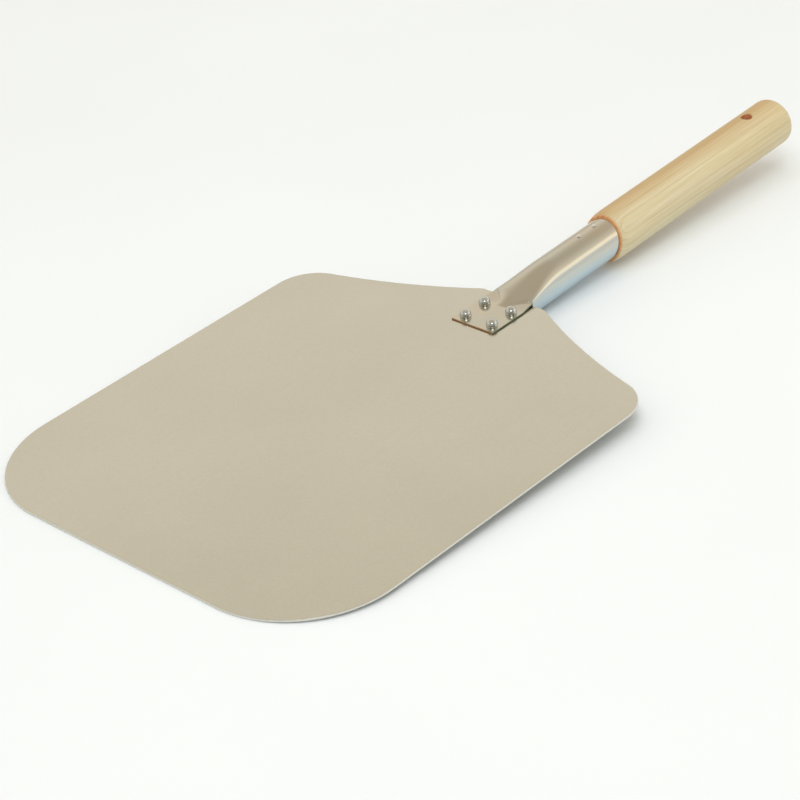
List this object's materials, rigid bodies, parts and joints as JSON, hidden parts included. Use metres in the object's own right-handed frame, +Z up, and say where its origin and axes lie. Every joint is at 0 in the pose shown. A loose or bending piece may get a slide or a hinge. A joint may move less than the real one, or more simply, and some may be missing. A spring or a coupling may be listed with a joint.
{
  "type": "pizza peel",
  "caption": "Flat metal pizza peel with rounded front corners, a riveted tube ferrule and a short turned wooden handle with a hanging hole.",
  "frame": {"origin": "centre of the blade's flat underside, halfway along its length and width", "axes": "+X runs from the blade to the handle's end, +Z is up from the blade's underside, +Y completes a right-handed frame"},
  "size_m": [0.6571, 0.3048, 0.0405],
  "materials": {
    "blade_aluminium": "fine satin, close to a mirror at a low angle",
    "zinc_plate": "bright zinc plate with faint yellow and blue passivation",
    "rivet_metal": "bright, pressed round heads",
    "pin_metal": "bright plated pins",
    "handle_wood": "bare sanded pine, burnt darker in the hole and at the shoulder"
  },
  "bodies": {
    "root": {"blade": "blade_aluminium", "ferrule": "zinc_plate", "rivet_front_right": "rivet_metal", "rivet_front_left": "rivet_metal", "rivet_rear_right": "rivet_metal", "rivet_rear_left": "rivet_metal", "handle": "handle_wood", "handle_pin_rear": "pin_metal", "handle_pin_front": "pin_metal"}
  },
  "joints": []
}
